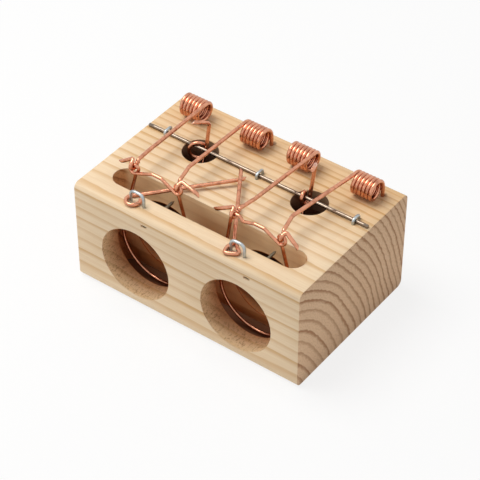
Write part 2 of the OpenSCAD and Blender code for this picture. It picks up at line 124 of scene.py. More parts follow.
class Socket:
    """An output socket of a finish, on which Python's operators add Math nodes."""

    def __init__(self, finish, output):
        self.finish = finish
        self.output = output

    def _maths(self, operation, *values):
        return self.finish.node("Math", {"operation": operation}, dict(enumerate(values)))

    def __add__(self, other):
        return self._maths("ADD", self, other)

    __radd__ = __add__

    def __sub__(self, other):
        return self._maths("SUBTRACT", self, other)

    def __rsub__(self, other):
        return self._maths("SUBTRACT", other, self)

    def __mul__(self, other):
        return self._maths("MULTIPLY", self, other)

    __rmul__ = __mul__

    def __pow__(self, other):
        return self._maths("POWER", self, other)

    def __neg__(self):
        return self._maths("MULTIPLY", self, -1)

    def __abs__(self):
        return self._maths("ABSOLUTE", self)

    def __lt__(self, other):
        return self._maths("LESS_THAN", self, other)

    def __gt__(self, other):
        return self._maths("GREATER_THAN", self, other)

    def most(self, other):
        return self._maths("MAXIMUM", self, other)

    def least(self, other):
        return self._maths("MINIMUM", self, other)

    def apply(self, operation, *values):
        """Any other operation of a Math node, with this value first."""
        return self._maths(operation, self, *values)

    def step(self, low, high, start=0.0, end=1.0):
        """A smooth change from start to end while the value goes from low to high."""
        return self.finish.node(
            "MapRange", {"interpolation_type": "SMOOTHSTEP"},
            {"Value": self, "From Min": low, "From Max": high, "To Min": start, "To Max": end})


print("named operations", [name for name in vars(Socket) if not name.startswith("_")])

# %% A finish and its nodes


class Finish:
    """The node tree of one finish. The method node adds any kind of node to it."""

    def __init__(self, owner):
        owner.use_nodes = True
        self.owner = owner
        self.tree = owner.node_tree
        self.tree.nodes.clear()

    def node(self, kind, settings=None, sockets=None, out=0):
        """A new node with its settings, and with the values or links of its sockets."""
        made = self.tree.nodes.new("ShaderNode" + kind)
        for key, value in (settings or {}).items():
            setattr(made, key, value)
        for key, value in (sockets or {}).items():
            socket = made.inputs[key]
            if isinstance(value, Socket):
                self.tree.links.new(value.output, socket)
            elif socket.type == "RGBA":
                socket.default_value = (*value, 1.0)
            else:
                socket.default_value = value
        return Socket(self, made.outputs[out]) if len(made.outputs) else None

    def mix(self, share, first, second, blend="MIX"):
        """Colour between two colours, which are inputs 6 and 7 of a Mix node."""
        return self.node(
            "Mix", {"data_type": "RGBA", "blend_type": blend},
            {0: share, 6: first, 7: second}, out=2)

    def stretch(self, place, scale):
        """A place scaled by its own amount along each axis."""
        return self.node("VectorMath", {"operation": "MULTIPLY"}, {0: place, 1: scale})

    def noise(self, place, scale=1.0, detail=2.0, roughness=0.5):
        """Noise from 0 to 1, with its average near a half."""
        return self.node(
            "TexNoise", None,
            {"Vector": place, "Scale": scale, "Detail": detail, "Roughness": roughness})

    def place_mm(self):
        """The place on the object, in millimetres of the frame."""
        here = self.node("TexCoord", out="Object")
        return self.node("VectorMath", {"operation": "SCALE"}, {0: here, "Scale": 1 / MM})

    def split(self, vector):
        """The X, Y and Z of a vector as three values."""
        parts = self.node("SeparateXYZ", None, {0: vector}).output.node
        return [Socket(self, parts.outputs[i]) for i in range(3)]


print("helpers of a finish", [name for name in vars(Finish) if not name.startswith("_")])

# %% [markdown]
# ## Stage and light
#
# Small wooden goods are shown on plain white under broad soft light. A lamp at one point would be
# simpler, but its shadows would be hard. So one large panel overhead, a little to the left, makes
# the top the brightest face, a weak second panel in front draws a small gleam on the wires, and the
# even sky and the floor fill the rest. To the eye the sky is plain white and the floor nearly so,
# which keeps the shadow faint, while the object gets their true light. Only the patch under the
# slot is painted dark, a painted shadow of the block that is seen through the slot.

# %% Sky
scene = bpy.context.scene
scene.view_settings.view_transform = "Standard"
SKY_STRENGTH = 0.42
WHITE = (1.0, 1.0, 1.0)


def white_for_the_eye(finish):
    """1 where a ray comes from the camera, a mirror or glass."""
    rays = finish.node("LightPath").output.node
    camera, glossy, through = (Socket(finish, rays.outputs[name]) for name in (
        "Is Camera Ray", "Is Glossy Ray", "Is Transmission Ray"))
    return camera.most(glossy.most(through))


sky = bpy.data.worlds.new("studio_sky")
scene.world = sky
air = Finish(sky)
even = air.node("Background", None, {"Color": WHITE, "Strength": SKY_STRENGTH})
plain = air.node("Background", None, {"Color": WHITE, "Strength": 1.0})
seen = air.node("MixShader", None, {0: white_for_the_eye(air), 1: even, 2: plain})
air.node("OutputWorld", None, {"Surface": seen})
print("sky strength", SKY_STRENGTH)

# %% Floor
FLOOR_HALF = 2.0
PAPER = (0.93, 0.93, 0.93)
# Painted shadow: the colour of the floor under the slot
SHADED_GROUND = (0.21, 0.100, 0.055)
GROUND_PAST_SLOT = 1
WHITE_SHARE = 0.80

floor_mesh = bpy.data.meshes.new("floor")
floor_mesh.from_pydata(
    [(-FLOOR_HALF, -FLOOR_HALF, 0), (FLOOR_HALF, -FLOOR_HALF, 0),
     (FLOOR_HALF, FLOOR_HALF, 0), (-FLOOR_HALF, FLOOR_HALF, 0)], [], [(0, 1, 2, 3)])
floor = bpy.data.objects.new("floor", floor_mesh)
scene.collection.objects.link(floor)
paper = Finish(bpy.data.materials.new("white_paper"))
floor_x, floor_y, _ = paper.split(paper.place_mm())
# Painted shadow: the patch of floor under the slot is dark and gets no white glow
under = (abs(floor_x) < SLOT_END + GROUND_PAST_SLOT) * (
    abs(floor_y - SLOT_Y) < SLOT_W / 2 + GROUND_PAST_SLOT)
matt = paper.node("BsdfDiffuse", None, {"Color": paper.mix(under, PAPER, SHADED_GROUND)})
glow = paper.node("Emission", None, {"Color": WHITE, "Strength": 1.0})
shown = paper.node("MixShader", None, {
    0: white_for_the_eye(paper) * WHITE_SHARE * (1 - under), 1: matt, 2: glow})
paper.node("OutputMaterial", None, {"Surface": shown})
floor_mesh.materials.append(paper.owner)
print("floor, m", 2 * FLOOR_HALF)

# %% Lamps
AIM = Vector((0, 0, 0.02))


def panel(name, place, size, power, colour):
    """A square soft lamp that looks at the middle of the block."""
    lamp = bpy.data.lights.new(name, "AREA")
    lamp.size = size
    lamp.energy = power
    lamp.color = colour
    holder = bpy.data.objects.new(name, lamp)
    scene.collection.objects.link(holder)
    holder.location = place
    holder.rotation_euler = (AIM - holder.location).to_track_quat("-Z", "Y").to_euler()


panel("panel_above", place=(-0.26, -0.08, 0.72), size=0.42, power=3.75,
      colour=(1.0, 0.985, 0.96))
panel("panel_front", place=(-0.45, -0.85, 0.45), size=0.50, power=0.45,
      colour=(1.0, 0.99, 0.98))

# %% [markdown]
# ## Camera
#
# A long lens keeps the block's edges almost parallel. The direction, roll and distance could be
# found by hand in the viewport. Here they come from the block's own corners, as angles round the
# block and a distance counted in block heights, so the camera needs no constraint and no target.

# %% Camera
AZIMUTH, ELEVATION, ROLL = math.radians(36.424), math.radians(41.430), math.radians(0.111)
ACROSS, UP, AWAY = -0.0016, 0.3301, 16.167
LENS, SENSOR = 143.02, 36.0

back = Vector((
    math.sin(AZIMUTH) * math.cos(ELEVATION),
    -math.cos(AZIMUTH) * math.cos(ELEVATION),
    math.sin(ELEVATION)))
right = Vector((0, 0, 1)).cross(back).normalized()
up = back.cross(right)
right, up = (
    math.cos(ROLL) * right + math.sin(ROLL) * up,
    math.cos(ROLL) * up - math.sin(ROLL) * right)
lens = bpy.data.cameras.new("camera")
lens.lens = LENS
lens.sensor_width = SENSOR
camera = bpy.data.objects.new("camera", lens)
scene.collection.objects.link(camera)
turn = Matrix((right, up, back)).transposed().to_4x4()
stand = (ACROSS * right + UP * up + AWAY * back) * BLOCK_H * MM
camera.matrix_world = Matrix.Translation(stand) @ turn
scene.camera = camera
print("camera at, mm", [round(c / MM) for c in stand])

# %% [markdown]
# ## Pine
#
# Wood is one solid pattern that every cut only reveals: year rings are cylinders round the pith of
# the tree, which lay in front of and below this block, and the fibres run along it. A picture of
# wood could be wrapped round the block, but it would show seams at the edges. So the finish is
# worked out from the place in space, and the end grain, the long faces and the walls of the holes
# all agree. Each ring goes slowly from pale spring wood to thin dark summer wood. What saw, drill
# and plane left behind comes from the side that a face looks to.

# %% Colours of pine
SPRING_WOOD = (0.880, 0.690, 0.470)
SUMMER_WOOD = (0.660, 0.400, 0.170)
END_SPRING_WOOD = (0.840, 0.570, 0.355)
END_SUMMER_WOOD = (0.420, 0.205, 0.095)
# Painted shade: the long faces are made darker and warmer towards the back
BACK_SHADE_TINT = (0.91, 0.77, 0.60)
CLOUDY_WOOD = (0.93, 0.77, 0.58)
SAWN_WOOD = (0.86, 0.66, 0.46)
# Painted light and shade of the cuts: lighter where light falls in, darker and redder deeper in
SLOT_SHADE_TINT = (1.00, 0.83, 0.60)
SLOT_BACK_LIGHT = (0.96, 0.75, 0.47)
SLOT_FOOT_SHADE = (0.74, 0.50, 0.41)
BORE_MOUTH_LIGHT = (0.93, 0.68, 0.38)
BORE_SHADE_TINT = (0.72, 0.38, 0.20)
DEEP_SHADE = (0.095, 0.040, 0.020)
BRUISED = (0.20, 0.10, 0.055)
print("spring wood", SPRING_WOOD, "summer wood", SUMMER_WOOD)

# %% Year rings
PITH_Y, PITH_Z = -64.5, -17.0
# Width of a ring at the pith, and how much it shrinks with each millimetre away from it
RING_START, RING_SLOWDOWN = 5.3, 0.026
# How far the rings wander over a long and over a short stretch, in millimetres
SWAY, WAVER = 5.0, 1.3


def grain(wood, place, along, across, **rest):
    """Noise that is drawn out along the block. Its scales are counted per millimetre."""
    return wood.noise(wood.stretch(place, (along, across, across)), **rest)


def year_rings(wood, place, torn_line):
    """Growth from 0 to 1 over each year's ring, and a strength for the dark wood of that year."""
    _, y, z = wood.split(place)
    sway = (grain(wood, place, along=0.006, across=0.030, detail=1.0) - 0.5) * SWAY
    waver = (grain(wood, place, along=0.045, across=0.40, detail=4.0) - 0.5) * WAVER
    radius = ((y - PITH_Y) ** 2 + (z - PITH_Z) ** 2).apply("SQRT") + sway + waver + torn_line
    # rings that shrink evenly are counted by a logarithm
    year = (RING_START - RING_SLOWDOWN * radius).apply("LOGARITHM", math.e) * (
        -1 / RING_SLOWDOWN)
    strength = wood.node(
        "TexWhiteNoise", {"noise_dimensions": "1D"}, {"W": year.apply("FLOOR")})
    return year.apply("FRACT"), strength


def dark_line(growth, rise, fall, strength):
    """The dark summer wood: it rises over one span of a year's growth and ends over another."""
    return growth.step(*rise) * (1 - growth.step(*fall)) * strength


print("pith at y, z", PITH_Y, PITH_Z)

# %% [markdown]
# ### Long faces and ends
#
# On the long faces the fibres lie flat, and the plane leaves them pale, with fine pores and soft
# clouds. On a sawn end they point outward, drink the light and show the rings darker, under the
# slanted marks of the saw. Two finishes on two sets of faces would leave a seam where the edges are
# rounded, so one finish blends between the two by the direction that the surface looks in.

# %% Long faces and ends
SAW_SLANT = math.radians(38)


def long_face(wood, place, growth, strength, back_shade):
    """Colour of a planed face, with its summer wood and its fibres for the relief."""
    fibre = grain(wood, place, along=0.06, across=2.2, detail=4.0, roughness=0.6)
    pore = grain(wood, place, along=0.18, across=5.5, detail=1.0).step(0.68, 0.80)
    cloud = grain(wood, place, along=0.03, across=0.12).step(0.35, 0.75)
    summer = dark_line(growth, (0.50, 0.92), (0.94, 1.0), 0.45 + 0.60 * strength)
    colour = wood.mix(summer.least(1.0), SPRING_WOOD, SUMMER_WOOD)
    # painted shade, darker and warmer towards the back
    colour = wood.mix(back_shade, colour, BACK_SHADE_TINT, "MULTIPLY")
    colour = wood.mix(((fibre - 0.5) * 0.9 + 0.12).most(0.0), colour, SUMMER_WOOD)
    colour = wood.mix(pore * 0.35, colour, END_SUMMER_WOOD)
    colour = wood.mix(cloud * 0.22, colour, CLOUDY_WOOD)
    return colour, summer, fibre


def sawn_end(wood, place, growth, strength, speck):
    """Colour of an end, with the marks of the saw for the relief."""
    slanted = wood.node(
        "VectorRotate", {"rotation_type": "X_AXIS"}, {"Vector": place, "Angle": SAW_SLANT})
    kerf = wood.noise(wood.stretch(slanted, (1.0, 0.10, 2.4)), detail=2.0)
    band = dark_line(growth, (0.52, 0.91), (0.94, 1.0), 0.64 + 0.50 * strength)
    colour = wood.mix(band.least(1.0), END_SPRING_WOOD, END_SUMMER_WOOD)
    colour = wood.mix((speck - 0.46).most(0.0) * 2.4, colour, END_SUMMER_WOOD)
    colour = wood.mix((kerf - 0.5).most(0.0) * 0.8, colour, SAWN_WOOD)
    return colour, kerf


print("saw marks slant by", round(math.degrees(SAW_SLANT)), "degrees")

# %% [markdown]
# ### Cut walls
#
# The walls of the bores and of the slot are torn by the cutters. Their colours also carry painted
# light and shade: the slot and its foot are darker and redder, its upper back wall lighter, the
# bores lighter at the mouth and darker inward, and the round pockets and the far ends of the bores
# near black. Separate materials could be given to those faces, but their borders would be hard.
# Masks worked out from the same sizes as the cuts reach only the walls, and they can fade with the
# depth.

# %% Masks of the cuts
# How far a mask reaches past its cut, and how far under the top or behind the front it starts
PAST_WALL, PAST_BORE = 0.2, 0.25
UNDER_TOP, BEHIND_FRONT = 0.3, 0.35


def cut_masks(x, y, z):
    """1 on the walls of the entry bores, of the slot and of the pockets, and 0 elsewhere."""
    below = z < BLOCK_H - UNDER_TOP
    bored = ((abs(x) - HOLE_X) ** 2 + (z - HOLE_Z) ** 2).apply("SQRT") < HOLE_R + PAST_BORE
    bored = bored * (y > FRONT_Y + BEHIND_FRONT) * (y < FRONT_Y + HOLE_DEPTH + PAST_WALL)
    routed = (abs(y - SLOT_Y) < SLOT_W / 2 + PAST_WALL) * (abs(x) < SLOT_END + PAST_WALL)
    pocket = ((abs(x) - POCKET_X) ** 2 + (y - POCKET_Y) ** 2).apply("SQRT") < (
        POCKET_R + PAST_WALL)
    return bored, routed * below, pocket * below


print("a bore's mask reaches", HOLE_R + PAST_BORE, "mm from its axis")

# %% Colours of the cuts
# Heights over which the painted shade and dust at the foot of the slot fade, and painted light on
# its upper back wall grows
SLOT_FOOT_Z, SLOT_BACK_Z = (14.0, 26.0), (20.0, 38.0)
# From the mouth of a bore to where its painted shade is as deep as it gets, and the span over which
# near-black painted shade rises towards its far end
BORE_FADE = 14.0
DEEP_SHADE_Y = (-14.5, -8.0)
# Depth over which a pocket's painted shade gets darker
POCKET_FADE = 9.0
# Where the legs of the springs were driven in, how the bruise there fades outward, how uneven its
# rim is and how deep it goes
LEG_HOLES = ((-42.9, 27.6), (-5.7, 28.2), (6.3, 27.6), (43.6, 27.8))
BRUISE_FADE, BRUISE_RIM, BRUISE_DEPTH = (0.6, 1.7), 1.6, 0.5


def cut_walls(wood, place, facing, colour, torn):
    """The colour with the painted light and shade of its cut walls, and a mask of the rough ones.
    """
    x, y, z = wood.split(place)
    bored, routed, pocket = cut_masks(x, y, z)
    # Painted shade in the slot, painted light on its upper back wall, painted shade and dust at its
    # foot
    colour = wood.mix(routed, colour, SLOT_SHADE_TINT, "MULTIPLY")
    lit_upper_back = (-facing[1]).step(0.6, 0.95) * z.step(*SLOT_BACK_Z)
    colour = wood.mix(routed * lit_upper_back * 0.50, colour, SLOT_BACK_LIGHT)
    colour = wood.mix(routed * z.step(*SLOT_FOOT_Z, 1.0, 0.0), colour, SLOT_FOOT_SHADE, "MULTIPLY")
    # Painted light at the mouth of a bore, painted shade deeper in
    deep = y.step(FRONT_Y, FRONT_Y + BORE_FADE)
    colour = wood.mix(bored * (1 - deep) * 0.65, colour, BORE_MOUTH_LIGHT)
    colour = wood.mix(bored * (0.10 + 0.90 * deep), colour, BORE_SHADE_TINT, "MULTIPLY")
    colour = wood.mix(bored * torn.step(0.50, 0.62) * 0.70, colour, END_SUMMER_WOOD)
    # Painted near-black shade in the pockets and at the far end of the bores
    pocket_shade = z.step(BLOCK_H - POCKET_FADE, BLOCK_H, 0.94, 0.74)
    deep_shade = (pocket * pocket_shade).most(bored * y.step(*DEEP_SHADE_Y) * 0.9)
    return wood.mix(deep_shade, colour, DEEP_SHADE), bored.most(routed)


def bruises(wood, place, torn):
    """How dark the top is round the holes into which the springs' legs were driven."""
    x, y, z = wood.split(place)
    bruise = 0.0
    for leg_x, leg_y in LEG_HOLES:
        far = ((x - leg_x) ** 2 + (y - leg_y) ** 2).apply("SQRT")
        bruise = (1 - (far + (torn - 0.5) * BRUISE_RIM).step(*BRUISE_FADE)).most(bruise)
    return bruise * 0.8 * (z > BLOCK_H - BRUISE_DEPTH)


print("legs bruise the top at", LEG_HOLES)

# %% [markdown]
# ### The finish
#
# Hard summer wood stands proud of the planed face, fibres lift, the saw leaves grooves and cut
# walls are fuzzy. It could be modelled in the mesh, but all of it is shallow, about a tenth of a
# millimetre, so a bump is enough.

# %% Pine finish
RELIEF = 0.16
# Share of an end in what a rounded edge looks to, and where painted shade makes the long faces
# darker and warmer towards the back
END_FACING, BACK_SHADE_Y = (0.35, 0.85), (-16.0, 36.0)


def pine(name):
    """Planed pine with its year rings, sawn ends, cut walls and bruises, and with painted light and
    shade.
    """
    wood = Finish(bpy.data.materials.new(name))
    place = wood.place_mm()
    facing = wood.split(wood.node("TexCoord", out="Normal"))
    end = abs(facing[0]).step(*END_FACING)
    speck = wood.noise(place, scale=1.5, detail=3.0, roughness=0.75)
    torn = wood.noise(wood.stretch(place, (1.3, 0.7, 1.3)), detail=5.0, roughness=0.75)
    growth, strength = year_rings(wood, place, (speck - 0.5) * end * 1.1)
    # painted shade towards the back, on the long faces only
    back_shade = wood.split(place)[1].step(*BACK_SHADE_Y) * (1 - end)
    long_colour, summer, fibre = long_face(wood, place, growth, strength, back_shade)
    end_colour, kerf = sawn_end(wood, place, growth, strength, speck)
    colour = wood.mix(end, long_colour, end_colour)
    colour, cut = cut_walls(wood, place, facing, colour, torn)
    colour = wood.mix(bruises(wood, place, torn), colour, BRUISED)
    relief = summer * 0.5 + fibre * 0.5 + end * (speck * 0.8 + kerf * 0.7) + cut * torn * 2.6
    shape = wood.node(
        "Bump", None, {"Strength": 0.55, "Distance": RELIEF * MM, "Height": relief})
    dull = 0.52 + 0.16 * fibre + 0.10 * end + 0.16 * cut
    surface = wood.node(
        "BsdfPrincipled", None,
        {"Base Color": colour, "Roughness": dull, "Normal": shape, "Specular IOR Level": 0.28})
    wood.node("OutputMaterial", None, {"Surface": surface})
    return wood.owner


timber = pine("planed_pine")
print("pine nodes", len(timber.node_tree.nodes))

# %% [markdown]
# ## Wire finishes
#
# The springs, nooses, bars and triggers are steel wire with a thin copper plating, drawn bright and
# then handled, so they shine but carry darker breath marks and drawing lines. The staples are
# galvanised, duller and bluish, with a cloudy coat. The axle rod is drawn steel, and the two brads
# in the front wall are blackened iron. A finish could be built for each, but all four are metals,
# so one builder with two colours and a few strengths is enough. The lines along the wire need a
# direction that turns with it, and the sweep below writes one as UV coordinates.

# %% Metal finishes
SCRATCH_DEPTH = 0.03
GRIME_SHADE = 0.55


def metal(name, bright, dark, gloss, mottle, lines):
    """Drawn metal. gloss is its lowest and highest roughness, mottle and lines are shares."""
    coat = Finish(bpy.data.materials.new(name))
    place = coat.place_mm()
    along = coat.stretch(coat.node("TexCoord", out="UV"), (0.35, 26.0, 1.0))
    drawn = coat.noise(along, detail=3.0, roughness=0.65)
    patch = coat.noise(place, scale=0.55, detail=3.0, roughness=0.6)
    grime = coat.noise(place, scale=2.1, detail=2.0, roughness=0.6)
    tint = coat.mix(patch.step(0.40, 0.72) * mottle, bright, dark)
    tint = coat.mix(drawn.step(0.48, 0.80) * lines, tint, dark)
    tint = coat.mix(
        grime.step(0.62, 0.80) * mottle, tint, tuple(GRIME_SHADE * c for c in dark))
    rough = gloss[0] + (gloss[1] - gloss[0]) * (0.6 * patch + 0.4 * drawn)
    shape = coat.node("Bump", None, {
        "Strength": 0.35, "Distance": SCRATCH_DEPTH * MM, "Height": drawn + 0.6 * grime})
    surface = coat.node(
        "BsdfPrincipled", None,
        {"Base Color": tint, "Metallic": 1.0, "Roughness": rough, "Normal": shape})
    coat.node("OutputMaterial", None, {"Surface": surface})
    return coat.owner


copper = metal(
    "copper_plating", bright=(0.72, 0.335, 0.205), dark=(0.25, 0.083, 0.046),
    gloss=(0.12, 0.26), mottle=0.50, lines=0.50)
steel = metal(
    "drawn_steel", bright=(0.26, 0.205, 0.160), dark=(0.09, 0.062, 0.045),
    gloss=(0.12, 0.24), mottle=0.40, lines=0.60)
zinc = metal(
    "galvanised", bright=(0.50, 0.54, 0.55), dark=(0.24, 0.27, 0.28),
    gloss=(0.30, 0.50), mottle=0.60, lines=0.25)
iron = metal(
    "blackened_brad", bright=(0.24, 0.205, 0.15), dark=(0.07, 0.050, 0.035),
    gloss=(0.34, 0.56), mottle=0.65, lines=0.30)
print("finishes", [m.name for m in bpy.data.materials])

# %% [markdown]
# ## Sweeping a wire
#
# A bent wire is a circle carried along a line. A curve object with a bevel would do, but its ends
# are flat and it has no say in the cut. So the sweep is made here: long straights of the line are
# divided, the circle turns as little as possible from one point to the next, and each free end gets
# the slanted, slightly squashed face that side cutters leave.

# %% Lines of wire
# Points nearer than this are one point, and a straight longer than the span is divided
SAME_POINT = 1e-4
LONGEST_SPAN = 2.7


def unit(v):
    return np.asarray(v, float) / np.linalg.norm(v)


def bend(a, b, c, r, steps=10):
    """Points of a round bend of radius r at b, on the way from a to c."""
    a, b, c = (np.asarray(p, float) for p in (a, b, c))
    u, v = unit(a - b), unit(c - b)
    half = math.acos(float(np.clip(u @ v, -1, 1))) / 2
    if half > math.radians(89.5):
        return [b]
    centre = b + unit(u + v) * (r / math.sin(half))
    out = unit(b + u * (r / math.tan(half)) - centre)
    sweep = math.pi - 2 * half
    return [centre + r * (out * math.cos(sweep * i / steps) - u * math.sin(sweep * i / steps))
            for i in range(steps + 1)]


def spaced(points, closed):
    """The same line without doubled points and with its long straights divided."""
    line = np.array(points, float)
    if closed:
        line = np.vstack([line, line[:1]])
    keep = [line[0]]
    for p in line[1:]:
        gap = np.linalg.norm(p - keep[-1])
        if gap < SAME_POINT:
            continue
        parts = max(1, int(gap / LONGEST_SPAN))
        keep += [keep[-1] + (p - keep[-1]) * k / parts for k in range(1, parts + 1)]
    return np.array(keep[:-1] if closed else keep)


def headings(line, closed):
    """Direction of travel at each point of a line."""
    ahead = np.roll(line, -1, 0) - line
    behind = line - np.roll(line, 1, 0)
    if not closed:
        ahead[-1], behind[0] = behind[-1], ahead[0]
    return np.array([unit(unit(a) + unit(b)) for a, b in zip(ahead, behind)])


def sideways(heading, closed):
    """A direction square to each heading, which turns as little as possible along the wire."""
    side = np.array([1.0, 0, 0]) if abs(heading[0][0]) < 0.9 else np.array([0, 1.0, 0])
    sides = []
    for t in heading:
        side = unit(side - (side @ t) * t)
        sides.append(side)
    if closed:
        # the last ring comes back a little turned, so all rings share that slip
        last = unit(side - (side @ heading[0]) * heading[0])
        slip = math.atan2(
            float(np.cross(sides[0], last) @ heading[0]), float(sides[0] @ last))
        for i, t in enumerate(heading):
            a = -slip * i / len(sides)
            sides[i] = sides[i] * math.cos(a) + np.cross(t, sides[i]) * math.sin(a)
    return sides


print("a right bend has", len(bend([1, 0, 0], [0, 0, 0], [0, 1, 0], 0.5)), "points")

# %% Sweeping a circle along a line
SIDES = 16
# A cut end: its length in wire thicknesses, its size, and where on the circle it reaches furthest
CUT_LENGTH, CUT_SIZE, CUT_TURN = 0.10, 0.80, 0.6


def with_cut_ends(rings, thick, cuts):
    """The rings with a smaller, slanted one past each free end."""
    tip = CUT_LENGTH * thick
    first, first_t, first_side = rings[0][:3]
    last, last_t, last_side = rings[-1][:3]
    return [
        (first - tip * first_t, first_t, first_side, CUT_SIZE, cuts[0]),
        (first, first_t, first_side, 1.0, cuts[0]),
        *rings[1:-1],
        (last, last_t, last_side, 1.0, cuts[1]),
        (last + tip * last_t, last_t, last_side, CUT_SIZE, cuts[1])]


def circle(centre, t, side, size, slant, thick):
    """Points of one ring. A slant pushes one side of it forward along the wire."""
    across = np.cross(t, side)
    turns = [2 * math.pi * k / SIDES for k in range(SIDES)]
    return [centre + thick / 2 * size * (side * math.cos(a) + across * math.sin(a))
            + t * slant * thick * 0.5 * math.cos(a + CUT_TURN) for a in turns]


def sweep(name, points, thick, finish, closed=False, cuts=(0.35, 0.35)):
    """A wire of diameter thick along points in mm. cuts are the slants of its two ends."""
    line = spaced(points, closed)
    heading = headings(line, closed)
    rings = [(p, t, side, 1.0, 0.0)
             for p, t, side in zip(line, heading, sideways(heading, closed))]
    if not closed:
        rings = with_cut_ends(rings, thick, cuts)
    shape = bmesh.new()
    uv = shape.loops.layers.uv.new("along")
    loops = [[shape.verts.new(p * MM) for p in circle(*ring, thick)] for ring in rings]
    run = [0.0]
    for ring, after in zip(rings, rings[1:] + rings[:1]):
        run.append(run[-1] + float(np.linalg.norm(after[0] - ring[0])))
    for i in range(len(loops) if closed else len(loops) - 1):
        here, there = loops[i], loops[(i + 1) % len(loops)]
        for k in range(SIDES):
            j = (k + 1) % SIDES
            face = shape.faces.new((here[k], here[j], there[j], there[k]))
            face.smooth = True
            for corner, (u, v) in zip(face.loops, (
                    (run[i], k), (run[i], k + 1), (run[i + 1], k + 1), (run[i + 1], k))):
                corner[uv].uv = (u, v / SIDES)
    if not closed:
        shape.faces.new(loops[0][::-1])
        shape.faces.new(loops[-1])
    bmesh.ops.recalc_face_normals(shape, faces=shape.faces)
    mesh = bpy.data.meshes.new(name)
    shape.to_mesh(mesh)
    shape.free()
    mesh.materials.append(finish)
    piece = bpy.data.objects.new(name, mesh)
    scene.collection.objects.link(piece)
    return piece


print("sweep with", SIDES, "sides")

# %% [markdown]
# ## Springs
#
# Each spring is one wire: a leg driven into the block, six close turns, and a long arm whose end
# is curled round the top corner of a noose. Two pieces, one per body, would show a step where they
# meet, so each spring is one wire, set where it stands.

# %% Sizes of the springs
ARM_X = [float(pins["arm_%d_lift" % (i + 1)][0]) for i in range(4)]
COIL_Y, COIL_Z = (float(c) for c in pins["arm_1_lift"][1:])
LEG_X = (-42.835, -5.765, 6.365, 43.435)
LEG_DEPTH = 3.0
CURL_R = 3.75
TURNS = 6
# Where the leg's straight part ends under the coil, and how far the arm runs level from it
LEG_STOP, ARM_START = 1.2, 1.0
# The arm's bend near the noose: how far out from the hole's axis, how far back, and its height
KNEE_OUT = (10.9, 6.6, 9.3, 6.6)
KNEE_Y = (-10.4, -9.15, -9.15, -9.15)
KNEE_Z = 52.65
KNEE_R = 5.0
# The knot, which is the curl of the arm's end through the eye of the noose. Its angles are degrees
KNOT_OUT = (10.6, 9.75, 10.9, 9.75)
KNOT_Z = HINGE_Z
KNOT_R = 1.42
KNOT_LEAD = 1.0
KNOT_ENTRY, KNOT_START, KNOT_SWEEP = 62, 30, 300
KNOT_BEND_R = 0.7
# The free tip after the knot: its start, length, slope and turn towards the front
TIP_RISE = (0.5, 0.9, 0.45)
TIP_L = (6.6, 8.0, 8.6, 6.8)
TIP_DROP = (34, 13, 30, 26)
TIP_SWING = (4, 4, 4, 14)
CURL_POINTS, KNOT_POINTS, KNEE_POINTS, TIGHT_POINTS = 24, 20, 8, 5
print("coils at y, z", round(COIL_Y, 2), round(COIL_Z, 2))

# %% Springs


def around(x, y, z, r, a):
    """Point on a circle round the X axis, a = 0 at the back and 90 on top."""
    return np.array([x, y + r * math.cos(math.radians(a)), z + r * math.sin(math.radians(a))])


def spring_line(i):
    """Leg, coil, arm, knot and free tip of spring i, counted from 0 at the left."""
    side = -1 if i % 2 == 0 else 1
    hole = HOLE_X * (-1 if i < 2 else 1)
    arm_x, leg_x = ARM_X[i], LEG_X[i]
    total = int((TURNS + 0.25) * CURL_POINTS)
    coil = [around(leg_x + (arm_x - leg_x) * k / total, COIL_Y, COIL_Z, CURL_R,
                   360 * k / CURL_POINTS) for k in range(total + 1)]
    leg = [[leg_x, COIL_Y + CURL_R, z] for z in (BLOCK_H - LEG_DEPTH, COIL_Z - LEG_STOP)]
    top = coil[-1]
    knee = np.array([hole + side * KNEE_OUT[i], KNEE_Y[i], KNEE_Z])
    # over the back of the knot, down behind the noose, under it, and up in front
    x0 = hole + side * (KNOT_OUT[i] - KNOT_LEAD / 2)
    entry = around(x0, SLOT_Y, KNOT_Z, KNOT_R, KNOT_ENTRY)
    knot = [around(x0 + side * KNOT_LEAD * k / KNOT_POINTS, SLOT_Y, KNOT_Z, KNOT_R,
                   KNOT_START - KNOT_SWEEP * k / KNOT_POINTS) for k in range(KNOT_POINTS + 1)]
    drop, swing = math.radians(TIP_DROP[i]), math.radians(TIP_SWING[i])
    out = np.array([side * math.cos(drop) * math.cos(swing), -math.cos(drop) * math.sin(swing),
                    -math.sin(drop)])
    lift = knot[-1] + np.array(TIP_RISE) * [side, 1, 1]
    tip = lift + TIP_L[i] * out
    return (leg + coil + [top + [0, -ARM_START, 0]]
            + bend(top, knee, entry, KNEE_R, KNEE_POINTS)
            + bend(knee, entry, knot[0], KNOT_BEND_R, TIGHT_POINTS) + knot
            + bend(knot[-1], lift, tip, KNOT_BEND_R, TIGHT_POINTS) + [tip])


for i in range(4):
    wire = sweep("spring_%d" % (i + 1), spring_line(i), SPRING_WIRE, copper, cuts=(0.0, 0.9))
    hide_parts("spring_coil_%d" % (i + 1), "spring_arm_%d" % (i + 1))
    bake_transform(wire)
print("springs", TURNS, "turns, faces", len(wire.data.polygons))

# %% [markdown]
# ## Nooses
#
# A noose is a closed ring of thinner wire: a bow that lies round the entry hole, two sides that
# come up through the slot, and a crossbar that the arms pull. At each top corner the wire makes a
# small eye below the pull point, and the arm's end is curled through it like the next link of a
# chain. A torus would be quicker, but it has no eyes, so the line is worked out from its circles
# and the straights that touch them. A wire that makes an eye crosses itself, so the line leans a
# little forward into the eye and a little back out of it. The corner beside the right lock bar has
# no room for an eye. There the wire stands up into a plain round ear.

# %% Lines of the nooses
NOOSE_R = 17.0
NOOSE_CLEAR = 0.55
BOW_Z = NOOSE_CLEAR + NOOSE_WIRE / 2 + NOOSE_R - HINGE_Z
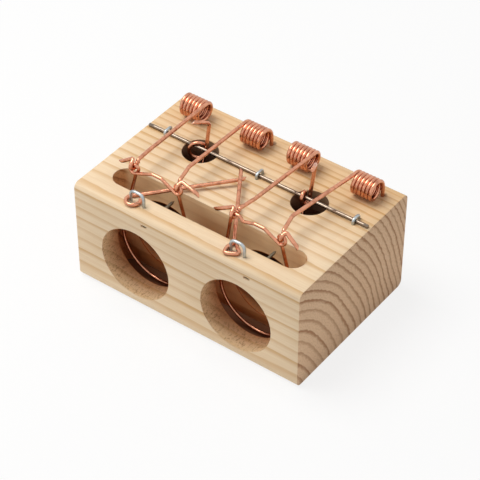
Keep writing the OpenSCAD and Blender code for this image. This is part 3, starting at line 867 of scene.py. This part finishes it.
# The eye at a top corner: its radius, its lean to both sides and how far out it lies
LOOP_EYE_R, LOOP_LEAN = 1.65, 0.70
LOOP_OUT = {"left": 10.5, "right": 9.6}
# The ear that stands in for an eye
EAR_IN, EAR_OUT, EAR_DIP, EAR_SLANT = 8.5, 11.9, 1.8, 1.3
# The necks under the eyes, and the middle of the crossbar
NECK = {"left": 10.1, "right": 9.4}
NECK_DROP, NECK_LEAN = 4.4, 0.35
CROWN_HALF, CROWN_Z = 2.0, -0.3
NOOSE_BEND_R = 1.0
EYE_POINTS, BOW_POINTS, CORNER_POINTS = 24, 60, 8


def touch_angle(from_x, from_z, centre_x, centre_z, r, side):
    """Angle on a circle where a straight line from a point touches it."""
    reach = math.hypot(from_x - centre_x, from_z - centre_z)
    return math.atan2(from_z - centre_z, from_x - centre_x) + side * math.acos(r / reach)


def noose_corner(side, with_eye):
    """One half of a noose as (out, z, lean) points, from the crossbar's crown down to the bow."""
    start = (NECK[side], -NECK_DROP) if with_eye else (EAR_OUT, 0.0)
    eye_out = LOOP_OUT[side]
    touch = touch_angle(*start, 0.0, BOW_Z, NOOSE_R, -1)
    crown = (CROWN_HALF, CROWN_Z)
    if with_eye:
        into = touch_angle(*crown, eye_out, -LOOP_EYE_R, LOOP_EYE_R, 1)
        away = touch_angle(*start, eye_out, -LOOP_EYE_R, LOOP_EYE_R, -1)
        turn = (away - into) % (2 * math.pi)
        shares = [k / EYE_POINTS for k in range(EYE_POINTS + 1)]
        middle = [(eye_out + LOOP_EYE_R * math.cos(into + turn * share),
                   -LOOP_EYE_R + LOOP_EYE_R * math.sin(into + turn * share),
                   LOOP_LEAN * (2 * share - 1)) for share in shares] + [(*start, NECK_LEAN)]
    else:
        middle = [(EAR_IN - EAR_SLANT, -EAR_DIP, 0.0), (EAR_IN, 0.0, 0.0), (*start, 0.0)]
    foot = (NOOSE_R * math.cos(touch), BOW_Z + NOOSE_R * math.sin(touch), 0.0)
    return [(*crown, 0.0)] + middle + [foot], touch


def noose_line(hole, left_eye):
    """Closed line of a noose round the entry hole whose axis is at x = hole."""
    left, left_touch = noose_corner("left", left_eye)
    right, right_touch = noose_corner("right", True)
    path = left[::-1] + [(-x, z, lean) for x, z, lean in right]
    place = [np.array([hole - x, SLOT_Y + lean, HINGE_Z + z]) for x, z, lean in path]
    line = [p for a, b, c in zip(place, place[1:], place[2:])
            for p in bend(a, b, c, NOOSE_BEND_R, CORNER_POINTS)]
    whole = math.pi + left_touch + right_touch
    bow = [right_touch - whole * k / BOW_POINTS for k in range(BOW_POINTS + 1)]
    return line + [np.array([hole + NOOSE_R * math.cos(a), SLOT_Y,
                             HINGE_Z + BOW_Z + NOOSE_R * math.sin(a)]) for a in bow]


print("lowest wire of a noose at z", round(HINGE_Z + BOW_Z - NOOSE_R - NOOSE_WIRE / 2, 2))

# %% Nooses
for side, name in ((-1, "left"), (1, "right")):
    ring = sweep("noose_wire_" + name, noose_line(side * HOLE_X, side < 0), NOOSE_WIRE,
                 copper, closed=True)
    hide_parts("noose_" + name)
    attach(ring, "noose_body_" + name)
print("nooses hang from z", round(HINGE_Z, 2))

# %% [markdown]
# ## Lock bars
#
# A lock bar is a straight wire whose end is bent into an eye round one leg of a staple, so that it
# swivels but can't be lost. The right one crosses over the left one. One eye could be drawn and
# mirrored, but such eyes are closed by hand with pliers: the left one came out round, the right one
# with three flat sides and tight corners. So each has a function of its own, and they share the
# straight part.

# %% Shapes of the lock bars
EYE_R = 2.65
EYE_NECK = 4.0
EYE_SHIFT = 2.6
EYE_TURN = math.radians(264)
# How far the middle of an eye lies from the staple's leg, with a gap left between the wires
EYE_GAP = 0.35
EYE_PLAY = EYE_R - BAR_WIRE / 2 - STAPLE_WIRE / 2 - EYE_GAP
# Direction from the staple's leg to the middle of the round eye, in radians
EYE_AIM = 0.087
# How far along the shank it leaves the level of the eye
FOOT = 1.3
# Angle from the length of the block, slope, and length of each bar
BAR_SET = {"left": (46.8, 2.6, 41.2), "right": (122.4, 5.7, 39.4)}
# Corners of the flat-sided eye from the staple's leg, and the radius of each bend
FLAT_CORNERS = ((-1.12, 3.10), (-1.55, -0.4), (-0.75, -3.15), (4.25, -0.55), (0.35, 2.75))
FLAT_BENDS = (0.8, 4.0, 0.95, 0.95)
ROUND_POINTS, FLAT_POINTS = 36, 6


def flat(a, r=1.0):
    """A level arrow of length r, turned by a from the length of the block."""
    return r * np.array([math.cos(a), math.sin(a), 0])


def shank(root, angle, slope, length):
    """Tip and foot of a straight shank that rises from its root."""
    rise = math.radians(slope)
    steep = math.cos(rise) * flat(math.radians(angle)) + np.array([0, 0, math.sin(rise)])
    return [root + (length - EYE_NECK) * steep, root + FOOT * steep]


def round_eye(pivot, angle, slope, length):
    """A bar whose eye was closed round, from its tip to the end of its eye."""
    turn = math.radians(angle)
    centre = pivot + flat(EYE_AIM, EYE_PLAY)
    root = centre + flat(turn + math.pi / 2, EYE_SHIFT) + flat(turn, EYE_NECK)
    start = turn + math.atan2(EYE_SHIFT, EYE_NECK) + math.acos(
        EYE_R / math.hypot(EYE_SHIFT, EYE_NECK))
    turns = [start + EYE_TURN * k / ROUND_POINTS for k in range(ROUND_POINTS + 1)]
    return shank(root, angle, slope, length) + [centre + flat(a, EYE_R) for a in turns]


def flat_sided_eye(pivot, angle, slope, length):
    """A bar whose eye has three flat sides: beside the leg, in front of it and at its right."""
    root = pivot + flat(0, EYE_PLAY) + flat(math.radians(angle), EYE_NECK)
    tip, foot = shank(root, angle, slope, length)
    corners = [foot] + [pivot + np.array([x, y, 0]) for x, y in FLAT_CORNERS]
    line = [tip, foot]
    for a, b, c, r in zip(corners, corners[1:], corners[2:], FLAT_BENDS):
        line += bend(a, b, c, r, FLAT_POINTS)
    return line + [corners[-1]]


print("play of a round eye on its leg", round(EYE_PLAY, 2), "mm")

# %% Lock bars
BARS = {"left": round_eye, "right": flat_sided_eye}

for name, shape in BARS.items():
    bar = sweep("lock_bar_wire_" + name, shape(pins["bar_%s_swivel" % name], *BAR_SET[name]),
                BAR_WIRE, copper, cuts=(0.7, 0.5))
    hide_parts("lock_bar_" + name)
    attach(bar, "bar_body_" + name)
print("lock bars as angle, slope and length", BAR_SET)

# %% [markdown]
# ## Triggers
#
# A trigger is one wire wound round the axle rod. Its upper end stands up and turns forward into the
# catch that holds a lock bar, and its long lower end hangs through the pocket into the entry hole,
# where a hook holds the bait. The right one is wound snugly. The left one is a wide loop that hangs
# askew on the rod, so its circle is drawn in a plane of its own, turned about the upright axis.

# %% Shapes of the triggers
LOOP_GAP = 0.35
LOOP_R = ROD_R + TRIGGER_WIRE / 2 + LOOP_GAP
LOOP_DROP = 2.9
BAIT_L, BAIT_LEAN, BAIT_HOOK_R, BAIT_TURN = 29.0, 6.0, 2.2, 210
CATCH_LEAN, CATCH_DRIFT = 7.0, 1.0
CATCH_REACH, CATCH_SIDE, CATCH_LIFT, CATCH_BEND = 6.0, 2.8, 2.6, 1.6
ASKEW_R, ASKEW_TURN, ASKEW_OUT, ASKEW_LEAD = 3.2, math.radians(36), 2.7, 0.75
ASKEW_START, ASKEW_SWEEP, ASKEW_GAP = -15, 385, 0.15
HOOK_POINTS, ASKEW_POINTS, CATCH_POINTS = 16, 40, 8
# Place of the bait arm, side to which the catch turns, lead of the loop, height of the catch
TRIGGERS = {"left": (-29.2, -1, 5.0, 10.8), "right": (20.8, 1, 2.0, 14.0)}


def snug_loop(lead):
    """Over the rod and back under it, while the wire moves along the rod by its lead."""
    shares = [k / HOOK_POINTS for k in range(HOOK_POINTS + 1)]
    dip = LOOP_R - LOOP_DROP
    over = [np.array([lead / 2 * share, LOOP_R * math.cos(math.pi * share),
                      LOOP_R * math.sin(math.pi * share)]) for share in shares]
    under = [np.array([lead / 2 * (1 + share), -LOOP_R * math.cos(math.pi * share),
                       dip - LOOP_R * math.sin(math.pi * share)]) for share in shares]
    return over + under


def askew_loop():
    """A wide turn that hangs on the rod, from its right side round to its right side."""
    centre = np.array([ASKEW_OUT, 0, ROD_R + TRIGGER_WIRE / 2 + ASKEW_GAP - ASKEW_R])
    wide = np.array([math.cos(ASKEW_TURN), math.sin(ASKEW_TURN), 0])
    ahead = np.array([math.sin(ASKEW_TURN), -math.cos(ASKEW_TURN), 0])
    line = []
    for share in (k / ASKEW_POINTS for k in range(ASKEW_POINTS + 1)):
        a = math.radians(ASKEW_START + ASKEW_SWEEP * share)
        line.append(centre + ASKEW_R * (math.cos(a) * wide + [0, 0, math.sin(a)])
                    + ASKEW_LEAD * (2 * share - 1) * ahead)
    return line


def trigger_line(at_x, side, lead, rise):
    """Bait hook, bait arm, loop, upright and catch of a trigger whose bait arm hangs at at_x."""
    lean = math.radians(BAIT_LEAN)
    foot = np.array([0, LOOP_R - BAIT_L * math.sin(lean), -BAIT_L * math.cos(lean)])
    head = np.array([lead + CATCH_DRIFT,
                     LOOP_R + rise * math.sin(math.radians(CATCH_LEAN)), rise])
    end = head + [side * CATCH_SIDE, -CATCH_REACH, CATCH_LIFT]
    turns = [math.radians(BAIT_TURN * (1 - k / HOOK_POINTS)) for k in range(HOOK_POINTS + 1)]
    hook = [foot + BAIT_HOOK_R * np.array([0, math.cos(a) - 1, -math.sin(a)]) for a in turns]
    loop = askew_loop() if side < 0 else snug_loop(lead)
    line = hook + loop + bend(loop[-1], head, end, CATCH_BEND, CATCH_POINTS) + [end]
    return [p + [at_x, ROD_Y, ROD_Z] for p in line]


print("a snug loop has radius", round(LOOP_R, 2), "and the askew one", ASKEW_R)

# %% Triggers
for name, shape in TRIGGERS.items():
    catch = sweep("trigger_wire_" + name, trigger_line(*shape), TRIGGER_WIRE, copper,
                  cuts=(0.3, 0.9))
    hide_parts("trigger_" + name)
    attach(catch, "trigger_body_" + name)
print("triggers hang", BAIT_L, "mm below the rod")

# %% [markdown]
# ## Staples, rod and brads
#
# The staples are short U-shaped pieces of galvanised wire, hammered over the rod or left proud for
# the bars. The hammer flattens the crown a little, so each sweep is pressed there after it is made.
# The rod is a straight cut of drawn steel with a chamfer at each end, and the brads keep the shape
# that the frame gives them, because they are plain nails.

# %% Staples
STAPLE_IN = 3.0
# Radius of a staple's shoulders, by the first three letters of its name
SHOULDER_R = {"bar": 2.2, "rod": 1.1}
SHOULDER_POINTS = 8
HAMMERED = 0.86


def staple_line(node):
    """Leg, crown and leg of the staple that a frame node holds."""
    low, high = box_mm(node)
    crown = high[2] - STAPLE_WIRE / 2
    if high[0] - low[0] > high[1] - low[1]:
        y = (low[1] + high[1]) / 2
        legs = [[low[0] + STAPLE_WIRE / 2, y], [high[0] - STAPLE_WIRE / 2, y]]
    else:
        x = (low[0] + high[0]) / 2
        legs = [[x, low[1] + STAPLE_WIRE / 2], [x, high[1] - STAPLE_WIRE / 2]]
    deep_a, deep_b = ([*p, BLOCK_H - STAPLE_IN] for p in legs)
    high_a, high_b = ([*p, crown] for p in legs)
    shoulder = SHOULDER_R[node[:3]]
    return ([deep_a] + bend(deep_a, high_a, high_b, shoulder, SHOULDER_POINTS)
            + bend(high_a, high_b, deep_b, shoulder, SHOULDER_POINTS) + [deep_b])


for node in ("rod_staple_left", "rod_staple_middle", "rod_staple_right",
             "bar_staple_left", "bar_staple_right"):
    clip = sweep(node + "_wire", staple_line(node), STAPLE_WIRE, zinc, cuts=(0, 0))
    crown = max(v.co.z for v in clip.data.vertices)
    for v in clip.data.vertices:
        above = v.co.z - (crown - STAPLE_WIRE * MM)
        if above > 0:
            v.co.z -= (1 - HAMMERED) * above
    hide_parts(node)
    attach(clip, "block_body")
print("staples pressed to", HAMMERED)

# %% Rod and brads
CHAMFER = 0.25
rod = sweep("rod_drawn", [[rod_low[0] + CHAMFER, ROD_Y, ROD_Z],
                          [rod_high[0] - CHAMFER, ROD_Y, ROD_Z]],
            2 * ROD_R, steel, cuts=(0, 0))
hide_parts("axle_rod")
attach(rod, "block_body")
for side in ("left", "right"):
    brad = frame["nodes"]["stop_pin_" + side]
    brad.data.materials.clear()
    brad.data.materials.append(iron)
print("rod", round(float(rod_high[0] - rod_low[0]), 1), "mm")

# %% [markdown]
# ## The block
#
# Planed pine never has a knife edge: the rims of the holes and the ends of the block are broken by
# sandpaper and by handling. The frame's block has sharp edges, so its mesh is copied into a new
# object, the copy is cleaned into whole faces, and every sharp edge gets a small rounded bevel. A
# bevel modifier would do the same, but in bmesh the edges can be chosen by their angle first.

# %% Block with broken edges
BROKEN_EDGE = 0.28
# Edges keener than SHARP are broken, and shading stays crisp over CRISP
SHARP, CRISP = math.radians(28), math.radians(20)
# Corners this close are one corner, and faces this flat are one face
SAME_CORNER, SAME_FACE = 0.001, math.radians(0.3)
wood_mesh = bpy.data.meshes.new("block_with_broken_edges")
shape = bmesh.new()
shape.from_mesh(frame["nodes"]["block"].data)
bmesh.ops.remove_doubles(shape, verts=shape.verts, dist=SAME_CORNER * MM)
bmesh.ops.dissolve_limit(
    shape, angle_limit=SAME_FACE, verts=shape.verts, edges=shape.edges)
keen = [e for e in shape.edges if len(e.link_faces) == 2 and e.calc_face_angle() > SHARP]
bmesh.ops.bevel(
    shape, geom=keen, offset=BROKEN_EDGE * MM, offset_type="OFFSET", segments=2, profile=0.5,
    affect="EDGES", clamp_overlap=True)
bmesh.ops.triangulate(shape, faces=shape.faces)
loose = sum(1 for e in shape.edges if len(e.link_faces) != 2)
for face in shape.faces:
    face.smooth = True
shape.to_mesh(wood_mesh)
shape.free()
wood_mesh.set_sharp_from_angle(angle=CRISP)
wood_mesh.materials.clear()
wood_mesh.materials.append(timber)
block = bpy.data.objects.new("block_of_pine", wood_mesh)
scene.collection.objects.link(block)
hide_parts("block")
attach(block, "block_body")
print("edges broken", len(keen), "faces", len(wood_mesh.polygons), "open edges", loose)
